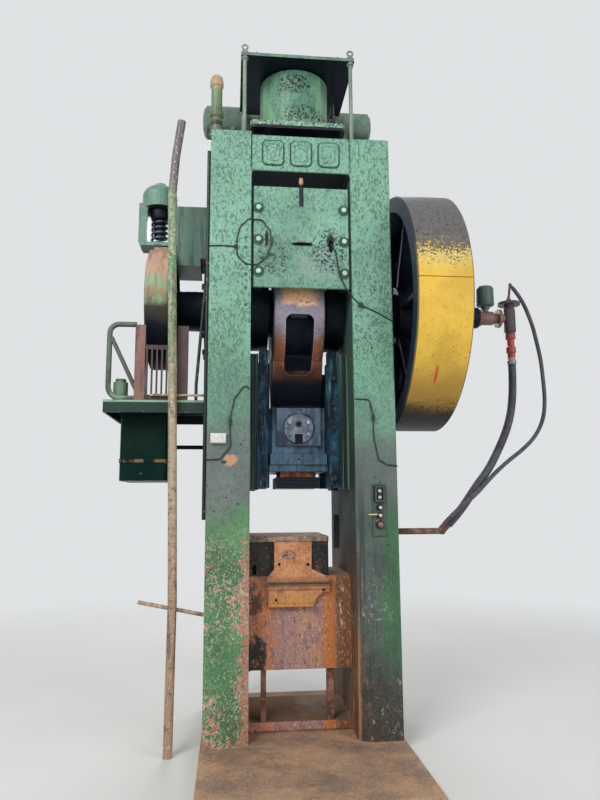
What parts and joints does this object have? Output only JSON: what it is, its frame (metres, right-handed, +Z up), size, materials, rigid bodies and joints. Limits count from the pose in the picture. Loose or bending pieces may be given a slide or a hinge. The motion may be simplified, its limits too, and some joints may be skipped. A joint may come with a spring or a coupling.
{
  "type": "hot forging press",
  "caption": "Tall eccentric forging press with a flywheel on the right, a drum brake on the left, a guided ram and an air balancer on top.",
  "frame": {"origin": "underside of the base plate, below the middle of the frame and on the plane of the shaft's axis", "axes": "+X to the right along the shaft towards the flywheel, +Y away from the operator, +Z up"},
  "size_m": [3.644, 2.487, 5.5273],
  "materials": {
    "green_enamel": "worn enamel",
    "mottled_green": "pitted enamel",
    "yellow_enamel": "chipped enamel",
    "red_enamel": "chipped enamel",
    "pink_primer": "primer under worn enamel",
    "orange_enamel": "worn enamel",
    "grey_enamel": "worn enamel",
    "white_enamel": "dirty enamel",
    "blue_steel": "oiled",
    "dark_steel": "dark oiled",
    "rusty_steel": "rusty",
    "bronze": "dull",
    "black_rubber": "dusty",
    "red_plastic": "worn",
    "black_plastic": "worn"
  },
  "bodies": {
    "press": {"base_plate": "rusty_steel", "anchor_bolts": "rusty_steel", "frame": "mottled_green", "cover_plate": "mottled_green", "hex_bolts": "dark_steel", "bearing_housing_left": "grey_enamel", "bearing_housing_right": "grey_enamel", "housing_bolts": "dark_steel", "bearing_bushes": "bronze", "guide_rails": "green_enamel", "gibs": "blue_steel", "bolster": "dark_steel", "table_plate": "rusty_steel", "die_bracket": "orange_enamel", "window_posts": "rusty_steel", "rotary_union": "pink_primer", "exhaust_silencer": "green_enamel", "air_valve": "grey_enamel", "hose_coupling": "red_enamel", "air_hose": "black_rubber", "signal_hose": "black_rubber", "air_pipe": "rusty_steel", "brake_band": "pink_primer", "brake_bracket": "green_enamel", "brake_cylinder": "green_enamel", "brake_spring": "dark_steel", "drum_guard": "pink_primer", "platform": "green_enamel", "oil_tank": "green_enamel", "service_pipe": "green_enamel", "balancer_base": "green_enamel", "balancer_cylinder": "green_enamel", "air_receiver": "green_enamel", "relief_valve": "green_enamel", "lube_tubes": "rusty_steel", "junction_box": "white_enamel", "control_panel": "green_enamel"},
    "shaft": {"eccentric_shaft": "blue_steel", "brake_drum": "grey_enamel"},
    "rod": {"connecting_rod": "orange_enamel", "big_end_bush": "bronze", "wrist_pin": "blue_steel"},
    "ram": {"slide": "blue_steel", "adjuster_plate": "blue_steel", "upper_die_plate": "dark_steel", "upper_die_holder": "rusty_steel", "upper_die_block": "dark_steel", "lifting_arms": "dark_steel", "lift_rods": "dark_steel", "crosshead": "green_enamel", "balancer_piston": "blue_steel"},
    "adjuster": {"adjuster_disc": "dark_steel"},
    "wheel": {"flywheel": "yellow_enamel", "clutch_cover": "grey_enamel"},
    "ejector": {"ejector_pin": "dark_steel"},
    "brake": {"brake_rod": "dark_steel"},
    "upper_button": {"push_button_upper": "black_plastic"},
    "lower_button": {"push_button_lower": "black_plastic"},
    "stop_button": {"mushroom_button": "red_plastic"}
  },
  "joints": [
    {"name": "shaft_turn", "type": "hinge", "parent": "press", "child": "shaft", "pos_m": [0, 0, 3.279], "axis": [1, 0, 0], "range_deg": [0, 180]},
    {"name": "rod_swing", "type": "hinge", "parent": "shaft", "child": "rod", "pos_m": [0, 0, 3.179], "axis": [1, 0, 0], "range_deg": [-180, 0]},
    {"name": "ram_stroke", "type": "slide", "parent": "press", "child": "ram", "axis": [0, 0, 1], "range_m": [0, 0.2]},
    {"name": "flywheel_spin", "type": "hinge", "parent": "press", "child": "wheel", "pos_m": [1, 0, 3.279], "axis": [1, 0, 0], "continuous": true},
    {"name": "adjuster_turn", "type": "hinge", "parent": "ram", "child": "adjuster", "pos_m": [0, -0.3, 2.271], "axis": [0, -1, 0], "range_deg": [-30, 30]},
    {"name": "ejector_lift", "type": "slide", "parent": "press", "child": "ejector", "axis": [0, 0, 1], "range_m": [0, 0.06]},
    {"name": "brake_release", "type": "slide", "parent": "press", "child": "brake", "axis": [0, 0, 1], "range_m": [0, 0.008], "stiffness_N_per_m": 20000, "springref_m": -0.01, "deforming": ["brake_spring"]},
    {"name": "upper_button_push", "type": "slide", "parent": "press", "child": "upper_button", "axis": [0, 1, 0], "range_m": [0, 0.005], "stiffness_N_per_m": 400},
    {"name": "lower_button_push", "type": "slide", "parent": "press", "child": "lower_button", "axis": [0, 1, 0], "range_m": [0, 0.005], "stiffness_N_per_m": 400},
    {"name": "stop_button_push", "type": "slide", "parent": "press", "child": "stop_button", "axis": [0, 1, 0], "range_m": [0, 0.005], "stiffness_N_per_m": 400}
  ],
  "couplings": [
    {"joint": "rod_swing", "follows": "shaft_turn", "ratio": -1},
    {"joint": "ram_stroke", "follows": "shaft_turn", "m_per_rad": 0.063661}
  ]
}
